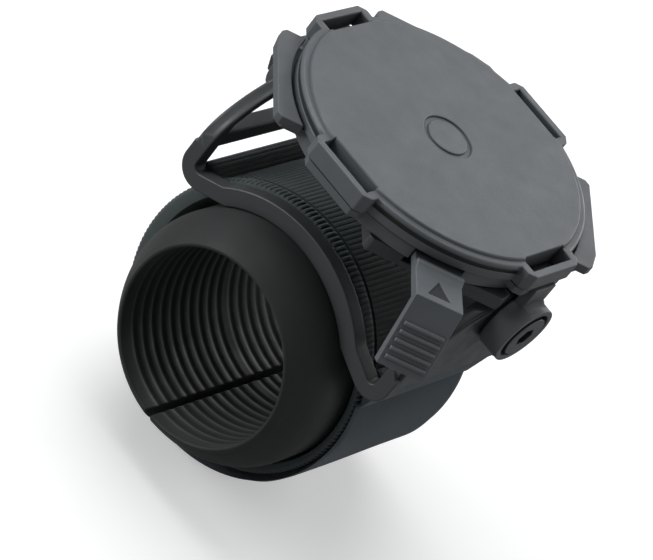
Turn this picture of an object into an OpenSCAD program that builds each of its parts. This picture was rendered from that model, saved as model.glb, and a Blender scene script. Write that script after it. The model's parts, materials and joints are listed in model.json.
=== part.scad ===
// Strap-on phone mount for a bicycle handlebar.
// A split rubber sleeve and a saddle are strapped round the bar. A head with a round
// bayonet disc tilts sideways on a through bolt, and a sprung lever locks the phone case.
// Frame: origin on the bar's axis under the centre of the disc, +X along the bar,
// +Y forwards away from the rider, +Z up and square to the disc.

/* [Handlebar sleeve] */
// Diameter of the handlebar's clamping zone
bar_d = 31.8; // [31.7:0.1:32.0]
// Length of the rubber sleeve along the bar
sleeve_len = 53.2; // [50:0.1:58]
// Outer diameter of the sleeve under the strap
sleeve_d = 41.4; // [41.0:0.1:41.4]
// Outer diameter of the sleeve's thin ends
sleeve_end_d = 33.4; // [33:0.1:36]
// Length of each end flare
flare_len = 8.1; // [6:0.1:9]
// Width of the slit that lets the sleeve open
slit_w = 1.2; // [0.6:0.1:3]

/* [Saddle] */
// Overall width of the saddle along the bar
saddle_w = 37; // [36:0.5:40]
// Thickness of a side rim along the bar
rim_w = 3; // [2.5:0.1:3.2]
// Inner radius of the saddle floor
floor_r = 20.8; // [20.75:0.05:20.85]
// Thickness of the saddle floor
floor_t = 1.1; // [0.9:0.05:1.1]
// Outer radius of the rims over the bar
rim_r = 24; // [23.5:0.1:24.2]
// Distance of each upright's inner face from the bar's plane
upright_y = 22.9; // [22.9:0.05:23.0]
// Thickness of an upright
upright_t = 2.8; // [2.6:0.05:2.85]

/* [Strap] */
// Width of the strap
strap_w = 30.6; // [28:0.1:30.8]
// Inner radius of the belt
belt_in_r = 21.6; // [21.6:0.02:21.64]
// Outer radius of the belt
belt_out_r = 23.5; // [23.3:0.05:23.6]
// Outer radius of the tail that laps over the belt
tail_out_r = 24.75; // [24.6:0.05:25.2]

/* [Tilt hinge] */
// Height of the tilt axis over the bar's axis
tilt_z = 30; // [29.9:0.05:30.1]
// Diameter of the tilt bolt
bolt_d = 4; // [3.9:0.02:4.04]
// Radius of the outer bosses on the head
boss_r = 5.6; // [5.4:0.1:6.0]
// Radius of the saddle's lugs
lug_r = 5.4; // [5.0:0.1:5.8]

/* [Head] */
// Height of the disc's top face over the bar's axis
disc_top = 42.9; // [42.8:0.1:44]
// Radius of the disc's raised top face
face_r = 24.9; // [24.5:0.1:25]
// Radius of the ring round the face
ring_r = 26.1; // [25.8:0.1:26.4]
// Half width of an ear
ear_half = 6.7; // [6.4:0.1:7.2]
// Distance from the disc's centre to an ear's outer edge
ear_r = 27.7; // [27.5:0.1:28.2]
// Length of the slot in each ear
slot_len = 10.3; // [9.5:0.1:11]
// Radial width of the slot in each ear
slot_w = 2.4; // [2.0:0.1:2.6]
// Distance from the disc's centre to the middle of a slot
slot_r = 25.15; // [25.0:0.05:25.3]
// Distance from the disc's centre to a tab's straight edge
tab_r = 29.1; // [28.5:0.1:29.5]
// Half width of a tab
tab_half = 10.3; // [9.5:0.1:10.5]

/* [Release lever] */
// Width of the lever
lever_w = 8.3; // [8:0.1:8.6]
// Distance from the disc's centre to the lever's kink
kink_r = 34.4; // [33:0.1:35]
// Height of the lever's kink
kink_z = 38.1; // [38:0.05:38.3]
// Distance from the disc's centre to the lever's tip
tip_r = 38.8; // [37.5:0.1:39.5]
// Height of the lever's tip
tip_z = 26.6; // [25.5:0.1:28]
// Number of grip ribs on the lever
rib_count = 5; // [3:1:5]

/* [Hidden] */
$fn = 96;

// Colours
rubber = [0.08, 0.09, 0.09];
plastic = [0.25, 0.27, 0.28];
webbing = [0.06, 0.07, 0.07];
steel = [0.55, 0.56, 0.58];
brass = [0.72, 0.58, 0.3];

// Overlap that joins two shapes of one node
eps = 0.01;

bar_r = bar_d / 2;
sleeve_r = sleeve_d / 2;
sleeve_end_r = sleeve_end_d / 2;
rim_in_x = saddle_w / 2 - rim_w;
bolt_r = bolt_d / 2;

// The U-shaped ends of the rims, as centre, mean radius and half thickness in the YZ plane
turn_y = 21.9;
turn_z = 15.9;
turn_r = 2.4;
rim_half_t = 1.4;
// Angle at which a rim leaves the bar's curve, and at which the turn takes over
rim_leave = 45;
turn_start = -115;
upright_out_y = upright_y + upright_t;
shoulder_z = 19;
pin_r = 1;
pin_wall = 1.5;
pin_z = turn_z - turn_r;
fold_r = 1.95;
// Uprights: a border and a cross rib of full depth round a thinner plate
border = 1.4;
plate_t = 1.45;
web_z = turn_z + 1;
cross_low = 21;
cross_high = 22.3;
// Three-centred arch over each upright: two side arcs that run smoothly into a flatter top arc
arch_side_r = 10;
arch_rise = 14.2;
arch_side_x = saddle_w / 2 - arch_side_r;
arch_top_r = (arch_side_x ^ 2 + arch_rise ^ 2 - arch_side_r ^ 2) / (2 * (arch_rise - arch_side_r));
arch_top_z = shoulder_z + arch_rise - arch_top_r;
arch_lean = atan2(shoulder_z - arch_top_z, arch_side_x);

// Belt: eccentric circles, because it lies on the floor above and on the sleeve below
belt_in_centre = [0.2, 0.7];
belt_centre = [0.9, 0.35];
patch_t = 0.3;
tail_in_r = belt_out_r + 0.4;
tail_in_centre = [1.1, 0];
tail_centre = [1.3, -0.6];
tail_from = 160;
tail_to = 288;
tab_to = 303;

// Head levels
ring_top = disc_top - 0.5;
groove_low = 40.7;
groove_high = 41.5;
groove_r = 25.1;
disc_bottom = 39.2;
carrier_top = 38.8;
carrier_bottom = 36.4;
housing_top = 36.3;
housing_bottom = 33.8;
tab_top = 40.1;
tab_t = 1.6;
tab_in_r = 26.6;
carrier_r = 25.2;
housing_flat = 23.9;
housing_half_y = 22.5;
barrel_r = 4.3;

// Cheeks that hold the bolt outside the saddle's lugs
cheek_y = upright_out_y + 0.5;
cheek_front_y = 28.4;
cheek_rear_y = 30.4;
head_seat_y = 28.3;
nut_seat_y = 27.4;
washer_r = 5;
bush_r = 3.48;
spacer_r = 3;

// Screws that join housing, carrier and disc
screw_x = 13.2;
screw_y = 4.8;
screw_r = 1.25;
screw_top = 41.8;
screw_head_r = 2.2;
insert_r = 1.7;

// Lever section and its pivot
pivot_r = 20.5;
pivot_z = 38;
pivot_pin_r = 0.7;
lever_t = 1.7;
lever_barrel_r = 1.1;
lever_dir = 225;
pin_len = 13;
spring_half = 1.5;
slot_half = lever_w / 2 + 0.2;
lever_y = 0.35;

// Places of the four ears and of the three tabs
ears = [0, 90, 180, 270];
tabs = [45, 135, 315];

// Extrudes a YZ outline along X between two positions
module along_x(from, to) {
    translate([from, 0, 0])
        rotate([90, 0, 90])
            linear_extrude(to - from)
                children();
}

// Extrudes an XZ outline towards +Y between two positions
module along_y(from, to) {
    translate([0, to, 0])
        rotate([90, 0, 0])
            linear_extrude(to - from)
                children();
}

// Cylinder along Y at the tilt axis
module tilt_cylinder(r, from, to) {
    translate([0, from, tilt_z])
        rotate([-90, 0, 0])
            cylinder(r = r, h = to - from);
}

// Wedge that keeps the angles between two limits, up to 180 degrees apart
module sector(from, to, r) {
    step = (to - from) / 4;
    polygon(concat([[0, 0]], [for (i = [0:4]) r * [cos(from + i * step), sin(from + i * step)]]));
}

// Annular sector
module arc_band(r_in, r_out, from, to) {
    intersection() {
        difference() {
            circle(r = r_out);
            circle(r = r_in);
        }
        sector(from, to, 2 * r_out);
    }
}

// ---- Strapped base ----

// Radius of the sleeve at a share of its flare, 0 at the end and 1 under the strap
function flare_r(s) = sleeve_end_r + (sleeve_r - sleeve_end_r) * sin(90 * s);

module bar_sleeve() {
    half = sleeve_len / 2;
    steps = 10;
    left = [for (i = [0:steps]) [flare_r(i / steps), -half + flare_len * i / steps]];
    right = [for (i = [steps:-1:0]) [flare_r(i / steps), half - flare_len * i / steps]];
    color(rubber)
        difference() {
            rotate([0, 90, 0])
                rotate_extrude($fn = 144)
                    polygon(concat([[bar_r, -half]], left, right, [[bar_r, half]]));
            translate([-half - 1, -slit_w / 2, -sleeve_r - 1])
                cube([sleeve_len + 2, slit_w, sleeve_r]);
        }
}

// Half of a rim's outline from the crest to the top of the front turn, in the YZ plane
module rim_half() {
    mean_r = (floor_r + rim_r) / 2 + 0.1;
    leave = mean_r * [cos(rim_leave), sin(rim_leave)];
    meet = [turn_y, turn_z] + turn_r * [cos(turn_start), sin(turn_start)];
    run = (meet - leave) / norm(meet - leave);
    side = rim_half_t * [-run[1], run[0]];
    arc_band(floor_r, rim_r, rim_leave - 1, 90);
    polygon([
        floor_r * [cos(rim_leave), sin(rim_leave)], leave - run + side,
        meet + side, meet + 0.3 * run - side
    ]);
    translate([turn_y, turn_z])
        arc_band(turn_r - rim_half_t, turn_r + rim_half_t, turn_start - 4, 0);
    translate([turn_y + turn_r - rim_half_t, turn_z - eps])
        square([2 * rim_half_t, shoulder_z - turn_z + eps]);
}

module rim_outline() {
    rim_half();
    mirror([1, 0])
        rim_half();
}

// Points along an arc in equal steps
function arc_points(centre, r, from, to, steps) = [
    for (i = [0:steps])
        let (angle = from + (to - from) * i / steps)
            centre + r * [cos(angle), sin(angle)]
];

// Border line of an upright in the XZ plane, an arch moved inward by inset, down to a base
module upright_border(inset, base) {
    half = saddle_w / 2 - inset;
    side_r = arch_side_r - inset;
    step = arch_lean / 5;
    polygon(concat(
        [[-half, base], [half, base]],
        arc_points([arch_side_x, shoulder_z], side_r, 0, arch_lean - step, 4),
        arc_points([0, arch_top_z], arch_top_r - inset, arch_lean, 180 - arch_lean, 18),
        arc_points([-arch_side_x, shoulder_z], side_r, 180 - arch_lean + step, 180, 4)
    ));
}

// Outline of an upright in the XZ plane: two arms that meet at the lug, and a web
module upright_outline(inset) {
    difference() {
        union() {
            upright_border(inset, turn_z);
            translate([0, tilt_z])
                circle(r = lug_r);
        }
        // Opening over the strap, with round corners
        translate([1 - rim_in_x, turn_z - 1])
            square([2 * (rim_in_x - 1), web_z - turn_z + 1]);
        for (side = [-1, 1])
            translate([side * (rim_in_x - 1), turn_z])
                circle(r = 1);
        translate([0, tilt_z])
            circle(r = bush_r);
    }
}

// What lies between the border and the lug, from one height to another
module upright_field(low, high) {
    difference() {
        intersection() {
            upright_border(border, turn_z - border);
            translate([-rim_in_x, low])
                square([2 * rim_in_x, high - low]);
        }
        translate([0, tilt_z])
            circle(r = lug_r);
    }
}

// Upright on the +Y side, with a stepped outer edge; windows open its upper fields
module upright(windows) {
    step = 0.7;
    plate_y = upright_out_y - plate_t;
    difference() {
        union() {
            along_y(upright_y, upright_out_y - step)
                upright_outline(0);
            along_y(upright_out_y - step - eps, upright_out_y)
                upright_outline(step);
        }
        along_y(upright_y - 1, plate_y)
            upright_field(turn_z, cross_low);
        along_y(upright_y - 1, windows ? upright_out_y + 1 : plate_y)
            upright_field(cross_high, tilt_z + lug_r);
    }
}

module saddle_frame() {
    color(plastic)
        difference() {
            union() {
                // Floor under the strap
                along_x(-rim_in_x - eps, rim_in_x + eps)
                    arc_band(floor_r, floor_r + floor_t, rim_leave + 1, 134);
                // Side rims
                for (side = [-1, 1])
                    along_x(side > 0 ? rim_in_x : -saddle_w / 2, side > 0 ? saddle_w / 2 : -rim_in_x)
                        rim_outline();
                // Uprights in front, with windows, and behind
                upright(true);
                mirror([0, 1, 0])
                    upright(false);
            }
            // Blind holes for the strap pins, open on the +X side
            for (side = [-1, 1])
                translate([pin_wall - saddle_w / 2, side * turn_y, pin_z])
                    rotate([0, 90, 0])
                        cylinder(r = pin_r, h = saddle_w, $fn = 32);
        }
}

module pivot_bushes() {
    color(brass)
        for (side = [-1, 1])
            difference() {
                tilt_cylinder(bush_r, side > 0 ? upright_y : -upright_out_y,
                              side > 0 ? upright_out_y : -upright_y);
                tilt_cylinder(bolt_r + 0.06, -40, 40);
            }
}

module strap_pins() {
    color(steel)
        for (side = [-1, 1])
            translate([pin_wall - saddle_w / 2 + 0.05, side * turn_y, pin_z])
                rotate([0, 90, 0])
                    cylinder(r = pin_r - 0.01, h = saddle_w - pin_wall - 0.35, $fn = 32);
}

module strap_belt() {
    color(webbing)
        along_x(-strap_w / 2, strap_w / 2)
            difference() {
                union() {
                    translate(belt_centre)
                        circle(r = belt_out_r, $fn = 144);
                    // Fold round the pin on the +Y side
                    translate([turn_y, pin_z])
                        circle(r = fold_r);
                }
                translate(belt_in_centre)
                    circle(r = belt_in_r, $fn = 144);
                translate([turn_y, pin_z])
                    circle(r = pin_r, $fn = 32);
            }
}

// Outline of a strap layer between two circles and two angles, in the YZ plane
module lap(r_in, in_centre, r_out, out_centre, from, to) {
    mid = (from + to) / 2;
    intersection() {
        difference() {
            translate(out_centre)
                circle(r = r_out, $fn = 144);
            translate(in_centre)
                circle(r = r_in, $fn = 144);
        }
        union() {
            sector(from, mid + eps, 60);
            sector(mid, to, 60);
        }
    }
}

module hook_patch() {
    half = strap_w / 2 - 2;
    color(rubber)
        along_x(-half, half)
            lap(belt_out_r + 0.03, belt_centre, belt_out_r + patch_t, belt_centre, 207, tail_to);
}

module strap_tail() {
    half = strap_w / 2 - 0.3;
    start = [cos(tail_from + 2), sin(tail_from + 2)];
    color(webbing)
        difference() {
            union() {
                along_x(-half, half)
                    lap(tail_in_r, tail_in_centre, tail_out_r, tail_centre, tail_from, tail_to);
                // Fold round the pin on the -Y side, and its lead into the tail
                along_x(-half, half)
                    translate([-turn_y, pin_z])
                        circle(r = fold_r);
                along_x(-half, half)
                    polygon([
                        22.95 * start, 23.25 * start, [-turn_y - 1.9, pin_z - 0.2],
                        [-turn_y + 1.3, pin_z - 1.3]
                    ]);
            }
            along_x(-half - 1, half + 1)
                translate([-turn_y, pin_z])
                    circle(r = pin_r, $fn = 32);
        }
}

module tail_tab() {
    half = strap_w / 2 - 3;
    color(rubber)
        along_x(-half, half)
            lap(tail_in_r, tail_in_centre, tail_out_r + 0.2, tail_centre, tail_to + 0.2, tab_to);
}

// ---- Tilting head ----

module lower_housing() {
    color(plastic)
        difference() {
            union() {
                translate([0, 0, housing_bottom])
                    linear_extrude(housing_top - housing_bottom)
                        slab_outline();
                tilt_cylinder(barrel_r, -housing_half_y, housing_half_y);
                translate([-barrel_r, -housing_half_y, tilt_z])
                    cube([2 * barrel_r, 2 * housing_half_y, housing_bottom - tilt_z + eps]);
            }
            // Bore for the spacer tube
            tilt_cylinder(spacer_r + 0.02, -40, 40);
            // Channel under the lever
            rotate(lever_dir)
                translate([pivot_r - 3.5, lever_y - slot_half - 0.1, 34.9])
                    cube([12, 2 * slot_half + 0.2, 4]);
            // Screw holes and the seats of their heads
            screw_places() {
                translate([0, 0, 30])
                    cylinder(r = screw_r + 0.1, h = 10, $fn = 32);
                translate([0, 0, 30])
                    cylinder(r = screw_head_r + 0.2, h = 4.6, $fn = 32);
            }
        }
}

// Round slab with a straight-edged block under the lever, clear of the saddle's lugs
module slab_outline() {
    difference() {
        union() {
            circle(r = 17.2);
            rotate(lever_dir)
                polygon([
                    [8, -10.6], [housing_flat - 0.6, -10.6], [housing_flat, -10],
                    [housing_flat, 13.4], [housing_flat - 1.9, 14.7], [8, 14.7]
                ]);
        }
        translate([-4.9, -40])
            square([60, 40 - housing_half_y]);
    }
}

// Repeats a child at the four screws
module screw_places() {
    for (sx = [-1, 1], sy = [-1, 1])
        translate([sx * screw_x, sy * screw_y, 0])
            children();
}

// Straight-edged tab on the carrier, pointing along +X, with a far corner cut back
module tab_outline(inset) {
    out = tab_r - inset;
    half = tab_half - inset;
    polygon([
        [20, -half - 1.6], [out - 1.7, -half - 1.6], [out - 0.9, -half - 0.8], [out, -half + 2.6],
        [out, half - 0.8], [out - 0.8, half], [20, half]
    ]);
}

// Pad that carries an ear, pointing along +X, open under the ear's slot
module pad_outline() {
    difference() {
        polygon([
            [20, -ear_half + 0.5], [ear_r - 1.6, -ear_half + 0.5], [ear_r - 0.5, -ear_half + 1.6],
            [ear_r - 0.5, ear_half - 1.6], [ear_r - 1.6, ear_half - 0.5], [20, ear_half - 0.5]
        ]);
        translate([slot_r - slot_w / 2, -slot_len / 2])
            square([slot_w, slot_len]);
    }
}

// Cheek that hangs from the carrier outside a lug, for the +Y side, with its bore
module cheek(out_y) {
    neck = 2.8;
    neck_out_y = cheek_y + 1.9;
    difference() {
        union() {
            tilt_cylinder(boss_r, cheek_y, out_y);
            translate([-neck, cheek_y, tilt_z])
                cube([2 * neck, neck_out_y - cheek_y, carrier_top - tilt_z]);
            translate([-neck, 20, carrier_bottom])
                cube([2 * neck, neck_out_y - 20, carrier_top - carrier_bottom]);
        }
        tilt_cylinder(bolt_r + 0.05, -40, 40);
    }
}

module carrier_plate() {
    color(plastic)
        difference() {
            union() {
                translate([0, 0, carrier_bottom])
                    cylinder(r = carrier_r, h = carrier_top - carrier_bottom);
                // Tabs, as a flange under the disc and a raised edge outside it
                for (a = tabs)
                    rotate(a) {
                        translate([0, 0, carrier_bottom + 0.8])
                            linear_extrude(carrier_top - carrier_bottom - 0.8)
                                tab_outline(1.2);
                        translate([0, 0, tab_top - tab_t])
                            linear_extrude(tab_t)
                                difference() {
                                    tab_outline(0);
                                    rotate(-a)
                                        circle(r = tab_in_r);
                                }
                    }
                for (a = ears)
                    rotate(a)
                        translate([0, 0, carrier_bottom + 1])
                            linear_extrude(carrier_top - carrier_bottom - 1)
                                pad_outline();
                cheek(cheek_front_y);
                mirror([0, 1, 0])
                    cheek(cheek_rear_y);
            }
            // Channel for the lever, open at the rim
            rotate(lever_dir)
                translate([pivot_r - 2.6, lever_y - slot_half, 30])
                    cube([20, 2 * slot_half, 10]);
            // Open groove that the lever's pin is laid into from above
            rotate(lever_dir)
                translate([pivot_r, pin_len / 2, pivot_z]) {
                    rotate([90, 0, 0])
                        cylinder(r = pivot_pin_r, h = pin_len, $fn = 32);
                    translate([-pivot_pin_r, -pin_len, 0])
                        cube([2 * pivot_pin_r, pin_len, 5]);
                }
            // Seat of the bolt's head behind, and of the nut in front
            tilt_cylinder(4.6, -cheek_rear_y - 1, -head_seat_y);
            translate([0, nut_seat_y, tilt_z])
                rotate([-90, 0, 0])
                    cylinder(r = 4.14, h = 5, $fn = 6);
            screw_places()
                translate([0, 0, 30])
                    cylinder(r = screw_r + 0.1, h = 20, $fn = 32);
        }
}

module lever_pin() {
    color(steel)
        rotate(lever_dir)
            translate([pivot_r, pin_len / 2, pivot_z])
                rotate([90, 0, 0])
                    cylinder(r = pivot_pin_r - 0.01, h = pin_len, $fn = 32);
}

// Torsion spring round the lever's pin, as close rings with one leg
module lever_spring() {
    wire = 0.15;
    coil_r = pivot_pin_r + wire + 0.03;
    turns = 8;
    color(steel)
        rotate(lever_dir)
            translate([pivot_r, 0, pivot_z])
                rotate([90, 0, 0]) {
                    for (i = [0:turns - 1])
                        translate([0, 0, -1 + i * 2 / (turns - 1)])
                            rotate_extrude($fn = 48)
                                translate([coil_r, 0])
                                    circle(r = wire, $fn = 16);
                    translate([-2.4, coil_r, -1])
                        rotate([0, 90, 0])
                            cylinder(r = wire, h = 2.6, $fn = 16);
                }
}

// Side view of the lever with the distance from the disc's centre along X and Z up
module lever_outline() {
    under = kink_z - lever_t;
    drop = [tip_r - kink_r, tip_z - kink_z];
    run = drop / norm(drop);
    inward = lever_t * [run[1], -run[0]];
    nose_r = ring_r + 0.5;
    polygon([
        [pivot_r, pivot_z + 0.55], [nose_r, kink_z], [nose_r + 0.3, kink_z + 0.8],
        [nose_r + 1.0, kink_z + 0.8], [nose_r + 1.9, kink_z], [kink_r, kink_z], [tip_r, tip_z],
        [tip_r, tip_z] + inward, [kink_r - 0.9, under], [pivot_r, pivot_z - 0.9]
    ]);
}

module release_lever() {
    drop = [tip_r - kink_r, tip_z - kink_z];
    slope = atan2(drop[1], drop[0]);
    span = norm(drop);
    color(plastic)
        rotate(lever_dir)
            translate([0, lever_y, 0])
            difference() {
                union() {
                    along_y(-lever_w / 2, lever_w / 2)
                        lever_outline();
                    translate([pivot_r, lever_w / 2, pivot_z])
                        rotate([90, 0, 0])
                            cylinder(r = lever_barrel_r, h = lever_w, $fn = 48);
                    // Grip ribs on the outer face
                    translate([kink_r, 0, kink_z])
                        rotate([0, -slope, 0])
                            for (i = [0:rib_count - 1])
                                translate([span - 1.6 - 1.45 * i, lever_w / 2 - 0.6, 0])
                                    rotate([90, 0, 0])
                                        cylinder(r = 0.42, h = lever_w - 1.2, $fn = 24);
                }
                // Bore for the pin
                translate([pivot_r, lever_w, pivot_z])
                    rotate([90, 0, 0])
                        cylinder(r = pivot_pin_r + 0.04, h = 2 * lever_w, $fn = 32);
                // Window for the spring
                translate([pivot_r - 3, -spring_half - lever_y, 30])
                    cube([4.6, 2 * spring_half, 20]);
                // Engraved arrow that points to the disc
                translate([0, 0, kink_z - 0.35])
                    linear_extrude(1)
                        polygon([[kink_r - 1.4, -2], [kink_r - 1.4, 2], [kink_r - 4.9, 0]]);
            }
}

module damping_ring() {
    color(rubber)
        translate([0, 0, carrier_top + 0.02])
            difference() {
                cylinder(r = 24.4, h = 0.36);
                translate([0, 0, -1])
                    cylinder(r = 18.6, h = 3);
                rotate(lever_dir)
                    translate([15, lever_y - slot_half, -1])
                        cube([20, 2 * slot_half, 3]);
            }
}

// Ear outline that points along +X, with small chamfers
module ear_outline() {
    cut = 1.2;
    polygon([
        [20, -ear_half], [ear_r - cut, -ear_half], [ear_r, -ear_half + cut],
        [ear_r, ear_half - cut], [ear_r - cut, ear_half], [20, ear_half]
    ]);
}

module lock_disc() {
    color(plastic)
        difference() {
            union() {
                rotate_extrude($fn = 144)
                    polygon([
                        [0, disc_bottom], [ring_r - 0.1, disc_bottom], [ring_r - 0.1, groove_low],
                        [groove_r, groove_low], [groove_r, groove_high], [ring_r, groove_high],
                        [ring_r, ring_top - 0.3], [ring_r - 0.3, ring_top], [face_r, ring_top],
                        [face_r - 0.2, disc_top], [0, disc_top]
                    ]);
                for (a = ears)
                    rotate(a)
                        translate([0, 0, disc_bottom])
                            linear_extrude(ring_top - disc_bottom)
                                ear_outline();
            }
            // Slots through the ears
            for (a = ears)
                rotate(a)
                    translate([slot_r - slot_w / 2, -slot_len / 2, disc_bottom - 1])
                        cube([slot_w, slot_len, 10]);
            // Plain ring sunk in the middle of the face
            translate([0, 0, disc_top - 0.3])
                difference() {
                    cylinder(r = 4.4, h = 1);
                    translate([0, 0, -1])
                        cylinder(r = 3.6, h = 3);
                }
            // Blind seats for the threaded inserts
            screw_places()
                translate([0, 0, disc_bottom - 1])
                    cylinder(r = insert_r, h = 3.9, $fn = 32);
        }
}

module grip_ring() {
    color(rubber)
        difference() {
            translate([0, 0, groove_low + 0.02])
                cylinder(r = groove_r + 0.6, h = groove_high - groove_low - 0.04, $fn = 144);
            translate([0, 0, 40])
                cylinder(r = groove_r + 0.04, h = 3, $fn = 144);
            // The ears interrupt the ring
            for (a = ears)
                rotate(a)
                    translate([20, -ear_half - 0.05, 40])
                        cube([10, 2 * ear_half + 0.1, 3]);
        }
}

module thread_inserts() {
    color(brass)
        screw_places()
            translate([0, 0, disc_bottom + 0.02])
                difference() {
                    cylinder(r = insert_r - 0.01, h = 2.8, $fn = 32);
                    translate([0, 0, -1])
                        cylinder(r = screw_r + 0.01, h = 5, $fn = 32);
                }
}

module head_screws() {
    color(steel)
        screw_places()
            difference() {
                union() {
                    translate([0, 0, 33.9])
                        cylinder(r = screw_r, h = screw_top - 33.9, $fn = 32);
                    translate([0, 0, 33])
                        cylinder(r = screw_head_r, h = 1.58, $fn = 32);
                }
                translate([0, 0, 32])
                    cylinder(r = 1.15, h = 2, $fn = 6);
            }
}

module spacer_tube() {
    color(steel)
        difference() {
            tilt_cylinder(spacer_r, 0.2 - upright_y, upright_y - 0.2);
            tilt_cylinder(bolt_r + 0.05, -40, 40);
        }
}

module friction_washers() {
    color(rubber)
        for (side = [-1, 1])
            difference() {
                tilt_cylinder(washer_r, side > 0 ? upright_out_y + 0.04 : -cheek_y + 0.04,
                              side > 0 ? cheek_y - 0.04 : -upright_out_y - 0.04);
                tilt_cylinder(bolt_r + 0.1, -40, 40);
            }
}

module tilt_bolt() {
    color(steel)
        difference() {
            union() {
                tilt_cylinder(bolt_r, -head_seat_y - 0.1, nut_seat_y + 3.6);
                tilt_cylinder(3.9, -head_seat_y - 2.3, -head_seat_y - 0.02);
            }
            // Hexagon socket
            translate([0, -head_seat_y - 3, tilt_z])
                rotate([-90, 0, 0])
                    cylinder(r = 1.73, h = 2.4, $fn = 6);
        }
}

module tilt_nut() {
    color(steel)
        difference() {
            translate([0, nut_seat_y + 0.02, tilt_z])
                rotate([-90, 0, 0])
                    cylinder(r = 4.04, h = 2.8, $fn = 6);
            tilt_cylinder(bolt_r + 0.01, -40, 40);
        }
}

bar_sleeve();
saddle_frame();
pivot_bushes();
strap_pins();
strap_belt();
hook_patch();
strap_tail();
tail_tab();
lower_housing();
carrier_plate();
lever_pin();
lever_spring();
release_lever();
damping_ring();
lock_disc();
grip_ring();
thread_inserts();
head_screws();
spacer_tube();
friction_washers();
tilt_bolt();
tilt_nut();
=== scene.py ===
"""Looks for the strap-on phone mount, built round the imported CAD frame."""
import json
import math

import bmesh
import bpy
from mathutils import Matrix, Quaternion, Vector


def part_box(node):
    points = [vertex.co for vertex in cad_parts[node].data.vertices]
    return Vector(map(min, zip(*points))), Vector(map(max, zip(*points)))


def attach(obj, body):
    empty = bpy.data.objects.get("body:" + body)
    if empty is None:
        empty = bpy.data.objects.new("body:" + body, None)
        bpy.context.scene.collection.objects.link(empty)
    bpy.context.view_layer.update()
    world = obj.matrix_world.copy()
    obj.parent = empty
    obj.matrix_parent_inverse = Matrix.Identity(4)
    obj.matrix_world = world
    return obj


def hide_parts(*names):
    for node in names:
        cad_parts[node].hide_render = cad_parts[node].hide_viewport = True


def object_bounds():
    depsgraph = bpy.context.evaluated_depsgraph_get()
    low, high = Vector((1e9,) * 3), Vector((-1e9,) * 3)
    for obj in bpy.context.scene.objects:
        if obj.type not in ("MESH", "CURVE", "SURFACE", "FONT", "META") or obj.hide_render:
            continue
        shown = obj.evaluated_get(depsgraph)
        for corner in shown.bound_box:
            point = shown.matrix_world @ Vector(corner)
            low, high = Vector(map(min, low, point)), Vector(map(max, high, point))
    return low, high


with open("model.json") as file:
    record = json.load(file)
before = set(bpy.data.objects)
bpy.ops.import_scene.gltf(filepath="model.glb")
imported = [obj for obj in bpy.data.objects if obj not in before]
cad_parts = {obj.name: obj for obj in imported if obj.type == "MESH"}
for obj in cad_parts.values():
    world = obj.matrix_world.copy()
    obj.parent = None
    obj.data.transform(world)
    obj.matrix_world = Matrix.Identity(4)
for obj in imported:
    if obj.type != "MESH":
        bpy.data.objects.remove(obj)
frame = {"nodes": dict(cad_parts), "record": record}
cad_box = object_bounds()
NODES = frame["nodes"]
BODY_OF = {node: body for body, nodes in frame["record"]["behaviour"]["bodies"].items() for node in nodes}
SLOT_OF = {part["node"]: part["material_slot"] for part in frame["record"]["subparts"]}
MM = 0.001


# ---------------------------------------------------------------- materials

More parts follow.
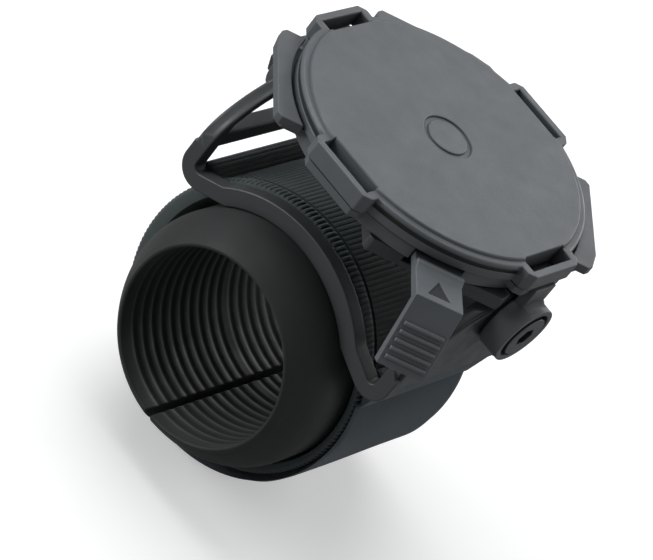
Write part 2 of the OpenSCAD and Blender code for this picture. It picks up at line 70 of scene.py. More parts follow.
class Shader:
    """A node material with a Principled shader and helpers that chain nodes."""

    def __init__(self, name, rough=0.5, metal=0.0, specular=0.5, sheen=0.0):
        self.mat = bpy.data.materials.new(name)
        self.mat.use_nodes = True
        self.tree = self.mat.node_tree
        self.out = self.tree.nodes["Principled BSDF"]
        self.out.inputs["Roughness"].default_value = rough
        self.out.inputs["Metallic"].default_value = metal
        self.out.inputs["Specular IOR Level"].default_value = specular
        self.out.inputs["Sheen Weight"].default_value = sheen
        self.out.inputs["Sheen Roughness"].default_value = 0.5
        self.place = self.node("ShaderNodeTexCoord")
        self.normal = None

    def node(self, kind, **values):
        made = self.tree.nodes.new(kind)
        for key, value in values.items():
            setattr(made, key, value)
        return made

    def link(self, source, target):
        self.tree.links.new(source, target)

    def coords(self, pitch, kind="Object", squash=(1, 1, 1)):
        """Coordinates that run one unit per pitch, in mm; for UV the unit is already mm."""
        unit = 1 / pitch if kind == "UV" else 1 / (pitch * MM)
        scale = self.node("ShaderNodeMapping")
        scale.inputs["Scale"].default_value = [unit * s for s in squash]
        self.link(self.place.outputs[kind], scale.inputs["Vector"])
        return scale.outputs["Vector"]

    def noise(self, pitch, detail=2.0, rough=0.5, kind="Object", squash=(1, 1, 1), distortion=0.0):
        made = self.node("ShaderNodeTexNoise")
        made.inputs["Scale"].default_value = 1
        made.inputs["Detail"].default_value = detail
        made.inputs["Roughness"].default_value = rough
        made.inputs["Distortion"].default_value = distortion
        self.link(self.coords(pitch, kind, squash), made.inputs["Vector"])
        return made.outputs["Fac"]

    def cells(self, pitch):
        made = self.node("ShaderNodeTexVoronoi", feature="F1")
        made.inputs["Scale"].default_value = 1
        self.link(self.coords(pitch), made.inputs["Vector"])
        return made.outputs["Distance"]

    def ramp(self, value, low, high, to_low=0.0, to_high=1.0):
        made = self.node("ShaderNodeMapRange")
        made.clamp = True
        limits = {"From Min": low, "From Max": high, "To Min": to_low, "To Max": to_high}
        for name, limit in limits.items():
            made.inputs[name].default_value = limit
        self.link(value, made.inputs["Value"])
        return made.outputs["Result"]

    def math(self, kind, a, b=0.0):
        made = self.node("ShaderNodeMath", operation=kind)
        for socket, value in zip(made.inputs, (a, b)):
            if isinstance(value, (int, float)):
                socket.default_value = value
            else:
                self.link(value, socket)
        return made.outputs["Value"]

    def mix(self, share, a, b):
        """Colour between a and b, each a colour or a socket."""
        made = self.node("ShaderNodeMix", data_type="RGBA")
        for name, value in (("A", a), ("B", b)):
            socket = [s for s in made.inputs if s.name == name and s.type == "RGBA"][0]
            if isinstance(value, (tuple, list)):
                socket.default_value = (*value, 1)
            else:
                self.link(value, socket)
        factor = [s for s in made.inputs if s.name == "Factor" and s.type == "VALUE"][0]
        if isinstance(share, (int, float)):
            factor.default_value = share
        else:
            self.link(share, factor)
        return [s for s in made.outputs if s.type == "RGBA"][0]

    def color(self, value):
        self.link(value, self.out.inputs["Base Color"])

    def roughness(self, value):
        self.link(value, self.out.inputs["Roughness"])

    def bump(self, height, depth):
        """Adds a bump whose full height is depth, in mm."""
        made = self.node("ShaderNodeBump")
        made.inputs["Strength"].default_value = 1.0
        made.inputs["Distance"].default_value = depth * MM
        self.link(height, made.inputs["Height"])
        if self.normal is not None:
            self.link(self.normal, made.inputs["Normal"])
        self.normal = made.outputs["Normal"]
        self.link(self.normal, self.out.inputs["Normal"])

    def worn(self):
        """1 along rounded convex edges and 0 on flats, as marked in the mesh by bevelled()."""
        return self.node("ShaderNodeAttribute", attribute_name="worn").outputs["Fac"]

    def open_air(self, reach):
        """1 on open faces and less in creases and gaps narrower than reach, in mm."""
        made = self.node("ShaderNodeAmbientOcclusion", samples=6)
        made.inputs["Distance"].default_value = reach * MM
        return made.outputs["AO"]


def tint(color, gain):
    return tuple(min(1.0, c * gain) for c in color)


def moulded_plastic(name, color, rough=0.5, grain=0.13, depth=0.012, wear=1.5):
    """Spark-eroded moulding: fine grain, faint clouds, edges polished lighter, and painted shade that
    darkens creases and narrow gaps.
    """
    # Painted shade: colour is darkened in creases and gaps narrower than the reach, in mm, down to the
    # gain times the base colour
    painted_shade_reach, painted_shade_gain = 1.8, 0.42
    edge_share, edge_polish = 0.4, -0.08
    s = Shader(name, specular=0.45)
    clouds = s.ramp(s.noise(9, detail=3), 0.35, 0.65)
    fine = s.noise(grain, detail=3, rough=0.6)
    pits = s.cells(grain * 2.2)
    base = s.mix(clouds, tint(color, 0.93), tint(color, 1.07))
    base = s.mix(s.ramp(fine, 0.35, 0.65, 0, 0.22), base, tint(color, 0.8))
    scuffs = s.ramp(s.noise(1.6, detail=4, rough=0.7, squash=(1, 1, 3)), 0.52, 0.62)
    edge = s.math("MULTIPLY", s.worn(), s.ramp(scuffs, 0, 1, 0.55, 1.0))
    base = s.mix(s.math("MULTIPLY", edge, edge_share), base, tint(color, wear))
    # Painted shade: darker colour where ambient occlusion finds creases and narrow gaps
    base = s.mix(s.ramp(s.open_air(painted_shade_reach), 0.35, 0.95), tint(color, painted_shade_gain), base)
    s.color(base)
    s.roughness(s.math("ADD", s.ramp(s.noise(3.2, detail=3), 0.3, 0.7, rough - 0.05, rough + 0.07),
                       s.math("MULTIPLY", edge, edge_polish)))
    s.bump(fine, depth)
    s.bump(s.ramp(pits, 0.1, 0.6), depth * 0.7)
    s.bump(s.noise(14, detail=1), 0.02)
    return s.mat


def soft_rubber(name, color, rough=0.62, grain=0.22, depth=0.014):
    """Matt silicone rubber: soft clouds, fine skin, a little dust in patches."""
    s = Shader(name, specular=0.35, sheen=0.06)
    clouds = s.ramp(s.noise(12, detail=3), 0.35, 0.65)
    skin = s.noise(grain, detail=3, rough=0.65)
    base = s.mix(clouds, tint(color, 0.88), tint(color, 1.12))
    dust = s.ramp(s.noise(0.9, detail=5, rough=0.7), 0.6, 0.72, 0, 0.10)
    base = s.mix(dust, base, tint(color, 2.2))
    s.color(base)
    s.roughness(s.ramp(s.noise(5, detail=3), 0.3, 0.7, rough - 0.06, rough + 0.08))
    s.bump(skin, depth)
    s.bump(s.noise(2.4, detail=2), 0.02)
    return s.mat


def woven(name, color, light, yarn=0.42, along=0.34, depth=0.05, rough=0.85, slack=0.1):
    """Close weave in UV millimetres: U along the strap and V across it; raised yarn is painted lighter
    and sunk yarn painted darker.
    """
    s = Shader(name, specular=0.25, sheen=0.35)
    s.out.inputs["Sheen Tint"].default_value = (0.6, 0.68, 0.75, 1)
    split = s.node("ShaderNodeSeparateXYZ")
    wobble = s.noise(1.7, detail=2, kind="UV")
    s.link(s.coords(1, "UV"), split.inputs["Vector"])
    u = s.math("ADD", split.outputs["X"], s.math("MULTIPLY", wobble, slack))
    v = s.math("ADD", split.outputs["Y"], s.math("MULTIPLY", wobble, -slack))
    warp = s.math("SINE", s.math("MULTIPLY", v, 2 * math.pi / yarn))
    weft = s.math("SINE", s.math("MULTIPLY", u, 2 * math.pi / along))
    over = s.math("MULTIPLY", warp, weft)
    height = s.ramp(over, -1, 1)
    fibre = s.noise(0.09, detail=2, kind="UV", squash=(0.35, 1, 1))
    # Painted shade and highlight: weave hollows darkened and raised yarn lightened by height
    shade = s.mix(height, tint(color, 0.6), light)
    shade = s.mix(s.ramp(fibre, 0.3, 0.7, 0, 0.35), shade, tint(color, 0.55))
    shade = s.mix(s.ramp(s.noise(11, detail=3), 0.35, 0.65, 0, 0.25), shade, tint(light, 1.2))
    s.color(shade)
    s.roughness(s.ramp(fibre, 0.2, 0.8, rough - 0.07, rough + 0.07))
    s.bump(height, depth)
    s.bump(fibre, 0.02)
    return s.mat


def ribbed_web(name, color, light):
    """Elastic webbing with cross ribs in its mesh: fibres along each rib, a painted highlight on the
    crests that is brightest on the bead rows, and painted shade in the hollows.
    """
    s = Shader(name, specular=0.3, sheen=0.3)
    s.out.inputs["Sheen Tint"].default_value = (0.6, 0.7, 0.7, 1)
    fibre = s.noise(0.11, detail=3, kind="UV", squash=(1, 0.25, 1))
    twist = s.noise(0.3, detail=2, kind="UV", squash=(1, 0.5, 1), distortion=0.8)
    # Painted light: convex crests take the lit colour, brightest on the bead rows, and hollows take a
    # darker shade of the base colour
    painted_crest_light = s.ramp(s.node("ShaderNodeNewGeometry").outputs["Pointiness"], 0.47, 0.54)
    bead = s.node("ShaderNodeAttribute", attribute_name="bead").outputs["Fac"]
    shade = s.mix(painted_crest_light, tint(color, 0.5), s.mix(bead, tint(light, 0.75), tint(light, 1.7)))
    shade = s.mix(s.ramp(fibre, 0.35, 0.65, 0, 0.45), shade, tint(color, 0.6))
    shade = s.mix(s.ramp(s.noise(7, detail=3), 0.4, 0.65, 0, 0.2), shade, tint(light, 1.3))
    s.color(shade)
    s.roughness(s.ramp(twist, 0.3, 0.7, 0.72, 0.9))
    s.bump(fibre, 0.035)
    s.bump(twist, 0.04)
    return s.mat


def metal(name, color, rough=0.3, metallic=1.0):
    """Turned or ground metal: fine streaks, fingerprints and worn edges."""
    s = Shader(name, rough=rough, metal=metallic)
    lines = s.noise(0.14, detail=3)
    blotch = s.ramp(s.noise(2.2, detail=4, rough=0.65), 0.4, 0.65)
    base = s.mix(blotch, tint(color, 0.88), color)
    base = s.mix(s.math("MULTIPLY", s.worn(), 0.5), base, tint(color, 1.5))
    s.color(base)
    s.roughness(s.math("ADD", s.ramp(lines, 0.3, 0.7, rough - 0.07, rough + 0.07),
                       s.math("MULTIPLY", blotch, 0.06)))
    s.bump(lines, 0.006)
    return s.mat


GREY = (0.098, 0.107, 0.116)
FRAME_GREY = (0.046, 0.051, 0.054)
RUBBER = (0.0165, 0.020, 0.0195)
MATS = {
    "head_plastic": moulded_plastic("head_plastic", GREY),
    "lever_plastic": moulded_plastic("lever_plastic", tint(GREY, 1.15), rough=0.46, grain=0.11),
    "frame_plastic": moulded_plastic("frame_plastic", FRAME_GREY, rough=0.44, grain=0.16),
    "rubber": soft_rubber("rubber", RUBBER),
    "tab_rubber": soft_rubber("tab_rubber", (0.03, 0.034, 0.036), rough=0.55, grain=0.16),
    "arrow_paint": soft_rubber("arrow_paint", (0.018, 0.02, 0.022), rough=0.7, grain=0.1),
    "webbing": ribbed_web("webbing", (0.010, 0.013, 0.013), (0.040, 0.050, 0.050)),
    "tail_webbing": woven("tail_webbing", (0.022, 0.028, 0.032), (0.046, 0.058, 0.066)),
    "hook_tape": woven("hook_tape", (0.012, 0.013, 0.014), (0.03, 0.032, 0.034), 0.9, 0.9, 0.2),
    "thread": woven("thread", (0.03, 0.036, 0.038), (0.07, 0.082, 0.088), 0.2, 0.3, 0.05),
    "steel": metal("steel", (0.56, 0.57, 0.6)),
    "dark_steel": metal("dark_steel", (0.085, 0.09, 0.096), rough=0.36, metallic=0.85),
    "brass": metal("brass", (0.72, 0.56, 0.3), rough=0.28),
}


# ---------------------------------------------------------------- mesh tools

# Points closer than this, in metres, are one point
TOUCHING = 2e-6


def new_object(name, mesh, body, material, stands_for=()):
    piece = bpy.data.objects.new(name, mesh)
    bpy.context.scene.collection.objects.link(piece)
    mesh.materials.clear()
    mesh.materials.append(MATS[material])
    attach(piece, body)
    if stands_for:
        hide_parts(*stands_for)
    return piece


def smooth(mesh, angle=35):
    mesh.shade_smooth()
    mesh.set_sharp_from_angle(angle=math.radians(angle))


def weighted(piece):
    made = piece.modifiers.new("normals", "WEIGHTED_NORMAL")
    made.keep_sharp = True
    made.weight = 60


def outer_edges(bm, angle, leave=None):
    """Sharp edges that stick out, without those that leave() says stay as they are."""
    limit = math.radians(angle)
    found = [e for e in bm.edges if e.is_convex and e.calc_face_angle(0) > limit]
    return [e for e in found if not (leave and all(leave(v.co / MM) for v in e.verts))]


def weld_short(bm, length):
    """Draws each run of edges shorter than length, in mm, together into one point."""
    leader = {v: v for v in bm.verts}

    def root(v):
        while leader[v] is not v:
            v = leader[v]
        return v

    for edge in bm.edges:
        if edge.calc_length() < length * MM:
            leader[root(edge.verts[0])] = root(edge.verts[1])
    groups = {}
    for v in bm.verts:
        groups.setdefault(root(v), []).append(v)
    for run in groups.values():
        middle = sum((v.co for v in run), Vector()) / len(run)
        for v in run:
            v.co = middle
    bmesh.ops.remove_doubles(bm, verts=bm.verts, dist=1e-7)


def bevelled(node, width, weld, leave=None, segments=3, angle=32):
    """Copy of a CAD node with flat faces joined and outer edges rounded, in a new mesh."""
    bm = bmesh.new()
    bm.from_mesh(NODES[node].data)
    worn = bm.verts.layers.float.new("worn")
    bmesh.ops.remove_doubles(bm, verts=bm.verts, dist=TOUCHING)
    weld_short(bm, weld)
    bmesh.ops.dissolve_degenerate(bm, edges=bm.edges, dist=TOUCHING)
    bmesh.ops.dissolve_limit(bm, angle_limit=math.radians(0.4), verts=bm.verts, edges=bm.edges,
                             delimit={"NORMAL"})
    made = bmesh.ops.bevel(bm, geom=outer_edges(bm, angle, leave), offset=width * MM, segments=segments,
                           profile=0.5, affect="EDGES", clamp_overlap=False, miter_outer="ARC",
                           loop_slide=True)
    bmesh.ops.recalc_face_normals(bm, faces=bm.faces)
    strips = set(made["faces"])
    for vert in made["verts"]:
        if all(face in strips for face in vert.link_faces):
            bulge = sum(1 if edge.is_convex else -1 for edge in vert.link_edges)
            vert[worn] = 1.0 if bulge > 0 else 0.0
    mesh = bpy.data.meshes.new(node + "_shell")
    bm.to_mesh(mesh)
    bm.free()
    smooth(mesh)
    return mesh


def rounded_copy(node, width, weld=0.01, leave=None):
    mesh = bevelled(node, width, weld, leave)
    piece = new_object(node + "_body", mesh, BODY_OF[node], SLOT_OF[node], (node,))
    weighted(piece)


PIN_R = 1
PIN_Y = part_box("strap_pins")[1].y / MM - PIN_R
PIN_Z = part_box("strap_pins")[0].z / MM + PIN_R
# Just over the radius of the pins' bores, and how far out the uprights' recessed faces lie
BORE_EDGE_R = 1.06
RECESS_Y = 25


def thin_spot(p):
    """The pin bores and the narrow strips beside the windows are too thin to round."""
    if math.hypot(abs(p.y) - PIN_Y, p.z - PIN_Z) < BORE_EDGE_R:
        return True
    return abs(abs(p.y) - RECESS_Y) < 0.02


rounded_copy("lock_disc", 0.22)
rounded_copy("carrier_plate", 0.2)
rounded_copy("lower_housing", 0.26, weld=0.02)
rounded_copy("saddle_frame", 0.3, weld=0.02, leave=thin_spot)
rounded_copy("release_lever", 0.16)
rounded_copy("tilt_bolt", 0.15)
rounded_copy("tilt_nut", 0.15)
rounded_copy("strap_pins", 0.2)

for node in ("pivot_bushes", "lever_pin", "lever_spring", "damping_ring", "grip_ring",
             "thread_inserts", "head_screws", "spacer_tube", "friction_washers"):
    shown = NODES[node]
    shown.data.materials.clear()
    shown.data.materials.append(MATS[SLOT_OF[node]])


# ---------------------------------------------------------------- soft pieces

def grid_piece(name, rings, along, across, closed=False):
    """Mesh through rings of points, with UVs in mm; capped, unless the rings close on the first."""
    bm = bmesh.new()
    uv = bm.loops.layers.uv.new("UVMap")
    rows = [[bm.verts.new(p) for p in ring] for ring in rings]
    count = len(rows[0])
    last = len(rows) if closed else len(rows) - 1
    for i in range(last):
        k = (i + 1) % len(rows)
        for j in range(count):
            m = (j + 1) % count
            face = bm.faces.new((rows[i][j], rows[k][j], rows[k][m], rows[i][m]))
            for loop, (a, b) in zip(face.loops, ((i, j), (i + 1, j), (i + 1, j + 1), (i, j + 1))):
                loop[uv].uv = (along[a], across[b])
    if not closed:
        for i, ring in ((0, rows[0]), (-1, rows[-1][::-1])):
            face = bm.faces.new(ring)
            for loop in face.loops:
                loop[uv].uv = (along[i], loop.vert.co.x / MM)
    bmesh.ops.recalc_face_normals(bm, faces=bm.faces)
    mesh = bpy.data.meshes.new(name)
    bm.to_mesh(mesh)
    bm.free()
    return mesh


def circle_at(angle, centre_y, centre_z, radius):
    """Distance from the bar's axis to an off-centre circle, at an angle in the YZ plane."""
    d = centre_y * math.cos(angle) + centre_z * math.sin(angle)
    return d + math.sqrt(radius ** 2 - centre_y ** 2 - centre_z ** 2 + d * d)


def polar(x, angle, radius):
    return Vector((x, radius * math.cos(angle), radius * math.sin(angle))) * MM


def arc_points(cx, cy, r, start, end, steps):
    return [(cx + r * math.cos(math.radians(start + (end - start) * i / steps)),
             cy + r * math.sin(math.radians(start + (end - start) * i / steps)))
            for i in range(steps + 1)]


# Rubber sleeve: lip, flare and body in section, swept round the bar from one slit face to the other
SLEEVE_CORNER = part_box("bar_sleeve")[1]
BORE_R = frame["record"]["mounts"][0]["dims"]["r_mm"]
SLEEVE_HALF = SLEEVE_CORNER.x / MM
SLEEVE_R = SLEEVE_CORNER.y / MM
SLEEVE_END_R = 16.7
FLARE = 8.1
LIP_R = 0.36
SLIT_HALF = 0.6
# Ribs in the bore: distance from the sleeve's end, pitch and depth of the grooves between them
RIBS_FROM_END = 2.2
GROOVE_PITCH = 2.4
GROOVE_DEPTH = 0.24
# Height and half angle's sine of the mould's parting line along the sleeve's sides
PARTING_H = 0.07
PARTING_SINE = 0.012


def sleeve_section():
    """Half section from the middle of the outside, round the lip, to the middle of the bore."""
    outside = [(0.0, SLEEVE_R), (8.0, SLEEVE_R), (14.0, SLEEVE_R)]
    flare_start = SLEEVE_HALF - FLARE
    flare_steps = 24
    for i in range(flare_steps - 1):
        share = 1 - i / flare_steps
        outside.append((flare_start + FLARE * (1 - share),
                        SLEEVE_END_R + (SLEEVE_R - SLEEVE_END_R) * math.sin(math.pi / 2 * share)))
    corner = arc_points(SLEEVE_HALF - LIP_R, SLEEVE_END_R - LIP_R, LIP_R, 60, 0, 4)
    inner = arc_points(SLEEVE_HALF - LIP_R, BORE_R + LIP_R, LIP_R, 0, -90, 4)
    bore = []
    x = SLEEVE_HALF - RIBS_FROM_END
    while x > 0:
        groove = 0.5 - 0.5 * math.cos(2 * math.pi * (SLEEVE_HALF - RIBS_FROM_END - x) / GROOVE_PITCH)
        bore.append((x, BORE_R + GROOVE_DEPTH * groove ** 2))
        x -= GROOVE_PITCH / 8
    return outside + corner + inner + bore


def sleeve():
    """The whole sleeve, with its slit's edges rounded."""
    half = sleeve_section()
    loop = half + [(-x, r) for x, r in half[::-1] if x > 0]
    steps = 168
    rings = []
    for i in range(steps + 1):
        ring = []
        for x, r in loop:
            slit = math.asin(SLIT_HALF / r)
            angle = -math.pi / 2 + slit + (2 * math.pi - 2 * slit) * i / steps
            if r > BORE_R + 1:
                r += PARTING_H * math.exp(-((math.sin(angle) / PARTING_SINE) ** 2))
            ring.append(polar(x, angle, r))
        rings.append(ring)
    across = [0.0]
    for (xa, ra), (xb, rb) in zip(loop, loop[1:] + loop[:1]):
        across.append(across[-1] + math.hypot(xb - xa, rb - ra))
    along = [i * 2 * math.pi * SLEEVE_R / steps for i in range(steps + 1)]
    mesh = grid_piece("sleeve", rings, along, across)
    bm = bmesh.new()
    bm.from_mesh(mesh)
    # The slit's two faces are the only ones with many corners
    rim = [e for e in bm.edges if any(len(f.verts) > 20 for f in e.link_faces)]
    bmesh.ops.bevel(bm, geom=rim, offset=0.22 * MM, segments=3, profile=0.5, affect="EDGES",
                    clamp_overlap=False)
    bm.to_mesh(mesh)
    bm.free()
    smooth(mesh, 40)
    new_object("sleeve_rubber", mesh, "base", "rubber", ("bar_sleeve",))


sleeve()

# Straps: circles that the CAD solids lie between, as centre Y, centre Z and radius
BELT_IN = (0.2, 0.7, 21.6)
BELT_OUT = (0.9, 0.35, 23.5)
TAIL_IN = (1.1, 0.0, 23.9)
TAIL_OUT = (1.3, -0.6, 24.75)
BELT_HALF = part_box("strap_belt")[1].x / MM
TAIL_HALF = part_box("strap_tail")[1].x / MM
TAB_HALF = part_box("tail_tab")[1].x / MM
# Angles in degrees at which the tail, the pull tab and the hook strip begin and end
TAIL_FROM, TAIL_TO = 160, 288
TAB_FROM, TAB_TO = 288.2, 303
HOOK_FROM = 207
# Cross ribs in one turn of the belt and their height, and the belt's mean radius
RIBS = 165
RIB_H = 0.13
WEB_R = 23.5
# Width and height of the bead row on each edge of the belt, and width of the groove beside it
BEADS = 3.1
BEAD_H = 0.36
GROOVE = 0.5


def strap(name, start, end, steps, inner, outer, half, surface, edge, count, taper=None):
    """Strap round the bar between two circles; surface(x, angle, width) lifts its outer face."""
    rings, along = [], []
    for i in range(steps + 1):
        angle = math.radians(start + (end - start) * i / steps)
        low, top = circle_at(angle, *inner), circle_at(angle, *outer)
        width = half if taper is None else half * taper(i / steps)
        ring = []
        # Outer face from one edge to the other, then the inner face back
        for j in range(count + 1):
            share = j / count
            x = -width + 2 * width * share
            near = min(width - abs(x), edge) / edge
            sink = edge * 0.75 * (1 - math.sqrt(max(0.0, 1 - (1 - near) ** 2)))
            ring.append(polar(x, angle, top - sink + surface(x, angle, width) * near))
        for share in (0.97, 0.75, 0.5, 0.25, 0.03):
            x = -width + 2 * width * share
            ring.append(polar(x, angle, low + (0.05 if share in (0.97, 0.03) else 0)))
        rings.append(ring)
        along.append(angle * WEB_R)
    across = [j * 2 * half / count for j in range(count + 1)]
    across += [2 * half + 1.0 + k * half / 2 for k in range(6)]
    return grid_piece(name, rings, along, across)


def belt_surface(x, angle, width):
    """Cross ribs over the belt, and a row of beads along each edge beyond a narrow groove."""
    inside = width - abs(x)
    phase = angle * RIBS / 2
    if inside < BEADS:
        dome = min(1.0, 1.7 * math.sin(math.pi * min(1.0, max(0.0, inside / BEADS))))
        return BEAD_H * abs(math.cos(phase + math.pi / 2)) ** 0.6 * dome - 0.04
    if inside < BEADS + GROOVE:
        return -0.2
    return RIB_H * abs(math.cos(phase)) ** 0.55 - 0.06


def belt():
    """The ribbed belt, a closed ring whose columns of points follow its beads and grooves."""
    half = BELT_HALF
    bead_columns = [0, 0.2, 0.45, 0.75, 1.1, 1.55, 2.0, 2.4, 2.7, 2.95, BEADS]
    groove_columns = [BEADS + 0.1, BEADS + 0.3, BEADS + GROOVE, BEADS + GROOVE + 0.1]
    columns = bead_columns + groove_columns + [5, 8, 11.5]
    xs = [-half + c for c in columns] + [0.0] + [half - c for c in columns[::-1]]
    steps = RIBS * 8
    rings = []
    for i in range(steps):
        angle = 2 * math.pi * i / steps
        low, top = circle_at(angle, *BELT_IN), circle_at(angle, *BELT_OUT)
        ring = []
        for x in xs:
            near = min((half - abs(x)) / 0.5, 1.0)
            sink = 0.45 * (1 - math.sqrt(1 - (1 - near) ** 2))
            ring.append(polar(x, angle, top - 0.12 - sink + belt_surface(x, angle, half) * near))
        for x in (half - 0.15, half / 2, 0.0, -half / 2, 0.15 - half):
            ring.append(polar(x, angle, low + (0.12 if abs(x) > half - 0.2 else 0.0)))
        rings.append(ring)
    along = [2 * math.pi * WEB_R * i / steps for i in range(steps + 1)]
    across = [x + half for x in xs] + [2 * half + 1 + k * half / 2 for k in range(6)]
    mesh = grid_piece("belt", rings, along, across, closed=True)
    bead = mesh.attributes.new("bead", "FLOAT", "POINT")
    for vert, entry in zip(mesh.vertices, bead.data):
        entry.value = 1.0 if half - abs(vert.co.x) / MM < BEADS else 0.0
    smooth(mesh, 60)
    new_object("belt_webbing", mesh, "base", "webbing", ("strap_belt",))


def slack(x, angle, width):
    """Faint waves of a strap pulled tight by hand."""
    return 0.05 * math.sin(angle * 9 + x * 0.12) + 0.04 * math.cos(angle * 17 - x * 0.21) - 0.09


def tail():
    mesh = strap("tail", TAIL_FROM, TAIL_TO, 220, TAIL_IN, TAIL_OUT, TAIL_HALF, slack, edge=0.4,
                 count=40)
    smooth(mesh, 50)
    new_object("tail_web", mesh, "base", "tail_webbing", ("strap_tail",))


def pull_tab():
    """Rubber tab with finger ridges, and corners rounded off at its free end."""
    ridge_count, ridge_pitch, ridge_h, ridge_margin = 6, 2.1, 0.32, 2.4
    straight, end_width = 0.72, 0.78
    outer = (*TAIL_OUT[:2], TAIL_OUT[2] + 0.2)

    def ridges(x, angle, width):
        place = (math.degrees(angle) - TAB_FROM - 1.3) / ridge_pitch
        if not 0 < place < ridge_count or width - abs(x) <= ridge_margin:
            return -0.28
        return ridge_h * abs(math.sin(math.pi * place)) ** 0.8 - 0.28

    def round_end(share):
        late = min(1.0, max(0.0, (share - straight) / (1 - straight)))
        return end_width + (1 - end_width) * math.sqrt(1 - late * late)

    mesh = strap("pull_tab", TAB_FROM, TAB_TO, 90, TAIL_IN, outer, TAB_HALF, ridges, edge=0.5,
                 count=40, taper=round_end)
    smooth(mesh, 50)
    new_object("tail_pull_tab", mesh, "base", "tab_rubber", ("tail_tab",))


def patch():
    """Hook tape between belt and tail, with its rows of hooks as fine waves."""
    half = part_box("hook_patch")[1].x / MM
    inner, outer = [(*BELT_OUT[:2], BELT_OUT[2] + lift) for lift in (0.03, 0.3)]

    def hooks(x, angle, width):
        return 0.02 * math.sin(angle * 160) * math.sin(x * 7)

    mesh = strap("patch", HOOK_FROM, TAIL_TO, 120, inner, outer, half, hooks, edge=0.12, count=30)
    smooth(mesh, 50)
    new_object("hook_strip", mesh, "base", "hook_tape", ("hook_patch",))


def prism(name, outline, half, inset=0.3):
    """Closed (y, z) outline swept along X, with its ends rounded over by inset, in mm."""
    my = sum(y for y, _ in outline) / len(outline)
    mz = sum(z for _, z in outline) / len(outline)
    reach = max(math.hypot(y - my, z - mz) for y, z in outline)
    stops = [(-half, 1.0), (-half + inset * 0.3, 0.35), (-half + inset, 0.0)]
    stops += [(-half + inset + (2 * half - 2 * inset) * k / 24, 0.0) for k in range(1, 24)]
    stops += [(-x, pull) for x, pull in stops[2::-1]]
    rings = []
    for x, pull in stops:
        size = 1 - pull * inset / reach
        rings.append([Vector((x, my + (y - my) * size, mz + (z - mz) * size)) * MM for y, z in outline])
    run = [0.0]
    for (ya, za), (yb, zb) in zip(outline, outline[1:] + outline[:1]):
        run.append(run[-1] + math.hypot(yb - ya, zb - za))
    mesh = grid_piece(name, rings, [x for x, _ in stops], run)
    for entry in mesh.uv_layers[0].data:
        entry.uv = (entry.uv[1], entry.uv[0])
    return mesh


# Outer radius of the straps' loops round their pins
FOLD_R = 1.95


def belt_fold():
    """The belt's loop round its pin, with cross ribs like the belt's."""
    ribs, steps = 14, 140
    outline = []
    for i in range(steps):
        angle = 2 * math.pi * i / steps
        r = FOLD_R + 0.17 * abs(math.cos(ribs / 2 * angle)) ** 0.55 - 0.1
        outline.append((PIN_Y + r * math.cos(angle), PIN_Z + r * math.sin(angle)))
    mesh = prism("belt_fold", outline, BELT_HALF - 0.05)
    smooth(mesh, 60)
    new_object("belt_fold", mesh, "base", "webbing", ("strap_belt",))


def tail_fold():
    """The tail's loop round the other pin, drawn out to a point where it leaves for the tail."""
    start, tip_r = math.radians(TAIL_FROM + 1), 23.7
    tip = (tip_r * math.cos(start), tip_r * math.sin(start))
    loop = arc_points(-PIN_Y, PIN_Z, FOLD_R - 0.04, 185, -35, 60)
    mesh = prism("tail_fold", [tip] + loop, TAIL_HALF - 0.05)
    smooth(mesh, 50)
    new_object("tail_fold", mesh, "base", "tail_webbing", ("strap_tail",))


belt()
belt_fold()
tail()
tail_fold()
pull_tab()
patch()


# One stitch: share of its length, thickness and rise above the cloth, both in thread radii
STITCH = ((0.0, 0.35, -0.9), (0.12, 0.9, -0.1), (0.35, 1.05, 0.3),
          (0.65, 1.05, 0.3), (0.88, 0.9, -0.1), (1.0, 0.35, -0.9))
THREAD_SIDES = 8


def stitches(name, places, radius, body):
    """One mesh of sewn stitches; each place is (start, end, outward normal) in metres."""
    bm = bmesh.new()
    for start, end, normal in places:
        run = end - start
        side = run.normalized().cross(normal)
        rings = []
        for share, swell, rise in STITCH:
            middle = start + run * share + normal * rise * radius
            ring = []
            for k in range(THREAD_SIDES):
                a = 2 * math.pi * k / THREAD_SIDES
                out = side * math.cos(a) + normal * math.sin(a)
                ring.append(bm.verts.new(middle + out * radius * swell))
            rings.append(ring)
        for ra, rb in zip(rings, rings[1:]):
            for k in range(THREAD_SIDES):
                m = (k + 1) % THREAD_SIDES
                bm.faces.new((ra[k], rb[k], rb[m], ra[m]))
        bm.faces.new(rings[0])
        bm.faces.new(rings[-1][::-1])
    bmesh.ops.recalc_face_normals(bm, faces=bm.faces)
    mesh = bpy.data.meshes.new(name)
    bm.to_mesh(mesh)
    bm.free()
    smooth(mesh, 60)
    new_object(name, mesh, body, "thread")


def strap_point(x, degrees, lift):
    angle = math.radians(degrees)
    normal = Vector((0, math.cos(angle), math.sin(angle)))
    return polar(x, angle, circle_at(angle, *TAIL_OUT) + lift), normal


def tail_stitches():
    """A sewn box at the tail's end: two rows across it, in mm, and two along it, in degrees."""
    margin, thread_r, lift = 1.6, 0.17, -0.02
    length, pitch = 0.95, 1.3
    turn, turn_pitch = 2.2, 3.0
    places = []
    for degrees in (279.5, 286.2):
        x = -TAIL_HALF + margin
        while x < TAIL_HALF - margin - 0.8:
            start, normal = strap_point(x, degrees, lift)
            end, _ = strap_point(x + length, degrees, lift)
            places.append((start, end, normal))
            x += pitch
    for side in (-1, 1):
        x = side * (TAIL_HALF - margin)
        degrees = 280.4
        while degrees < 285:
            start, normal = strap_point(x, degrees, lift)
            end, _ = strap_point(x, degrees + turn, lift)
            places.append((start, end, normal))
            degrees += turn_pitch
    stitches("tail_sewing", places, thread_r * MM, "base")


tail_stitches()


# ---------------------------------------------------------------- small details

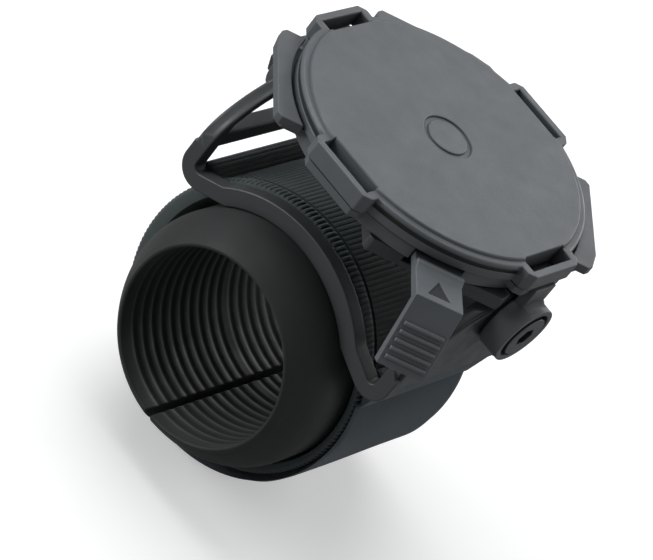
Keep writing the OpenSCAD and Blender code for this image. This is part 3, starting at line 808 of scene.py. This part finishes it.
def arrow_fill():
    """Dark filling of the arrow that is sunk in the lever, on the recess's own floor."""
    lever_top, recess_depth, fill_depth = 38.1, 0.35, 0.2
    floor_z = (lever_top - recess_depth) * MM
    mesh = NODES["release_lever"].data
    floor = [v.co.copy() for v in mesh.vertices if abs(v.co.z - floor_z) < 1e-6]
    corners = []
    for p in floor:
        if all((p - q).length > 1e-5 for q in corners):
            corners.append(p)
    middle = sum(corners, Vector()) / len(corners)
    corners.sort(key=lambda p: math.atan2(p.y - middle.y, p.x - middle.x))
    bm = bmesh.new()
    inset = [middle + (p - middle) * 0.955 for p in corners]
    lower = [bm.verts.new(p) for p in inset]
    upper = [bm.verts.new(p + Vector((0, 0, fill_depth * MM))) for p in inset]
    bm.faces.new(lower[::-1])
    top = bm.faces.new(upper)
    for k in range(len(inset)):
        m = (k + 1) % len(inset)
        bm.faces.new((lower[k], lower[m], upper[m], upper[k]))
    bmesh.ops.bevel(bm, geom=list(top.edges), offset=0.06 * MM, segments=2, affect="EDGES")
    made = bpy.data.meshes.new("arrow")
    bm.to_mesh(made)
    bm.free()
    smooth(made)
    new_object("lever_arrow_fill", made, "lever", "arrow_paint")


arrow_fill()


# ---------------------------------------------------------------- stage, light, camera

low, high = cad_box
centre = (low + high) / 2
FLOOR_GLOW = 0.35


def floor_plane():
    """Wide pale floor just under the piece."""
    size, gap = 3.0, 0.4 * MM
    mesh = bpy.data.meshes.new("floor")
    z = low.z - gap
    mesh.from_pydata([(-size, -size, z), (size, -size, z), (size, size, z), (-size, size, z)],
                     [], [(0, 1, 2, 3)])
    piece = bpy.data.objects.new("floor", mesh)
    bpy.context.scene.collection.objects.link(piece)
    s = Shader("floor", rough=0.9, specular=0.0)
    # Seen by the camera it is near white; to the piece it is darker, so little light comes from below
    seen = s.node("ShaderNodeLightPath").outputs["Is Camera Ray"]
    pale = s.mix(s.noise(60, detail=2), (0.80, 0.80, 0.80), (0.83, 0.83, 0.83))
    s.color(s.mix(seen, (0.3, 0.3, 0.3), pale))
    s.out.inputs["Emission Color"].default_value = (1, 1, 1, 1)
    s.link(s.math("MULTIPLY", seen, FLOOR_GLOW), s.out.inputs["Emission Strength"])
    mesh.materials.append(s.mat)


def aimed(name, data, azimuth, elevation, distance, roll=0):
    """Object that faces the piece's middle; azimuth 0 is from -Y, 90 from +X and 180 from +Y."""
    a, e = math.radians(azimuth), math.radians(elevation)
    back = Vector((math.sin(a) * math.cos(e), -math.cos(a) * math.cos(e), math.sin(e)))
    piece = bpy.data.objects.new(name, data)
    piece.location = centre + back * distance
    piece.rotation_mode = "QUATERNION"
    aim = (-back).to_track_quat("-Z", "Y")
    piece.rotation_quaternion = aim @ Quaternion((0, 0, 1), math.radians(roll))
    bpy.context.scene.collection.objects.link(piece)
    return piece


def sun(name, azimuth, elevation, power, spread):
    """Sun light with soft shadows, whose disc is spread degrees wide."""
    lamp = bpy.data.lights.new(name, "SUN")
    lamp.energy = power
    lamp.angle = math.radians(spread)
    aimed(name, lamp, azimuth, elevation, distance=0.6)


def camera(azimuth, elevation, roll, distance, lens):
    data = bpy.data.cameras.new("camera")
    data.lens = lens
    data.sensor_width = 36
    data.clip_start, data.clip_end = 0.05, 20
    bpy.context.scene.camera = aimed("camera", data, azimuth, elevation, distance, roll)


floor_plane()
sun("top", azimuth=165, elevation=64, power=1.75, spread=50)
sun("back_left", azimuth=-140, elevation=14, power=1.9, spread=35)
sun("right", azimuth=95, elevation=14, power=1.0, spread=35)
sun("rear_fill", azimuth=35, elevation=24, power=0.55, spread=50)
world = bpy.data.worlds.new("studio")
world.use_nodes = True
world.node_tree.nodes["Background"].inputs["Color"].default_value = (0.95, 0.97, 1, 1)
world.node_tree.nodes["Background"].inputs["Strength"].default_value = 0.2
bpy.context.scene.world = world
bpy.context.scene.view_settings.view_transform = "Standard"
camera(azimuth=-70.0, elevation=33.45, roll=39.2, distance=0.6686, lens=232)
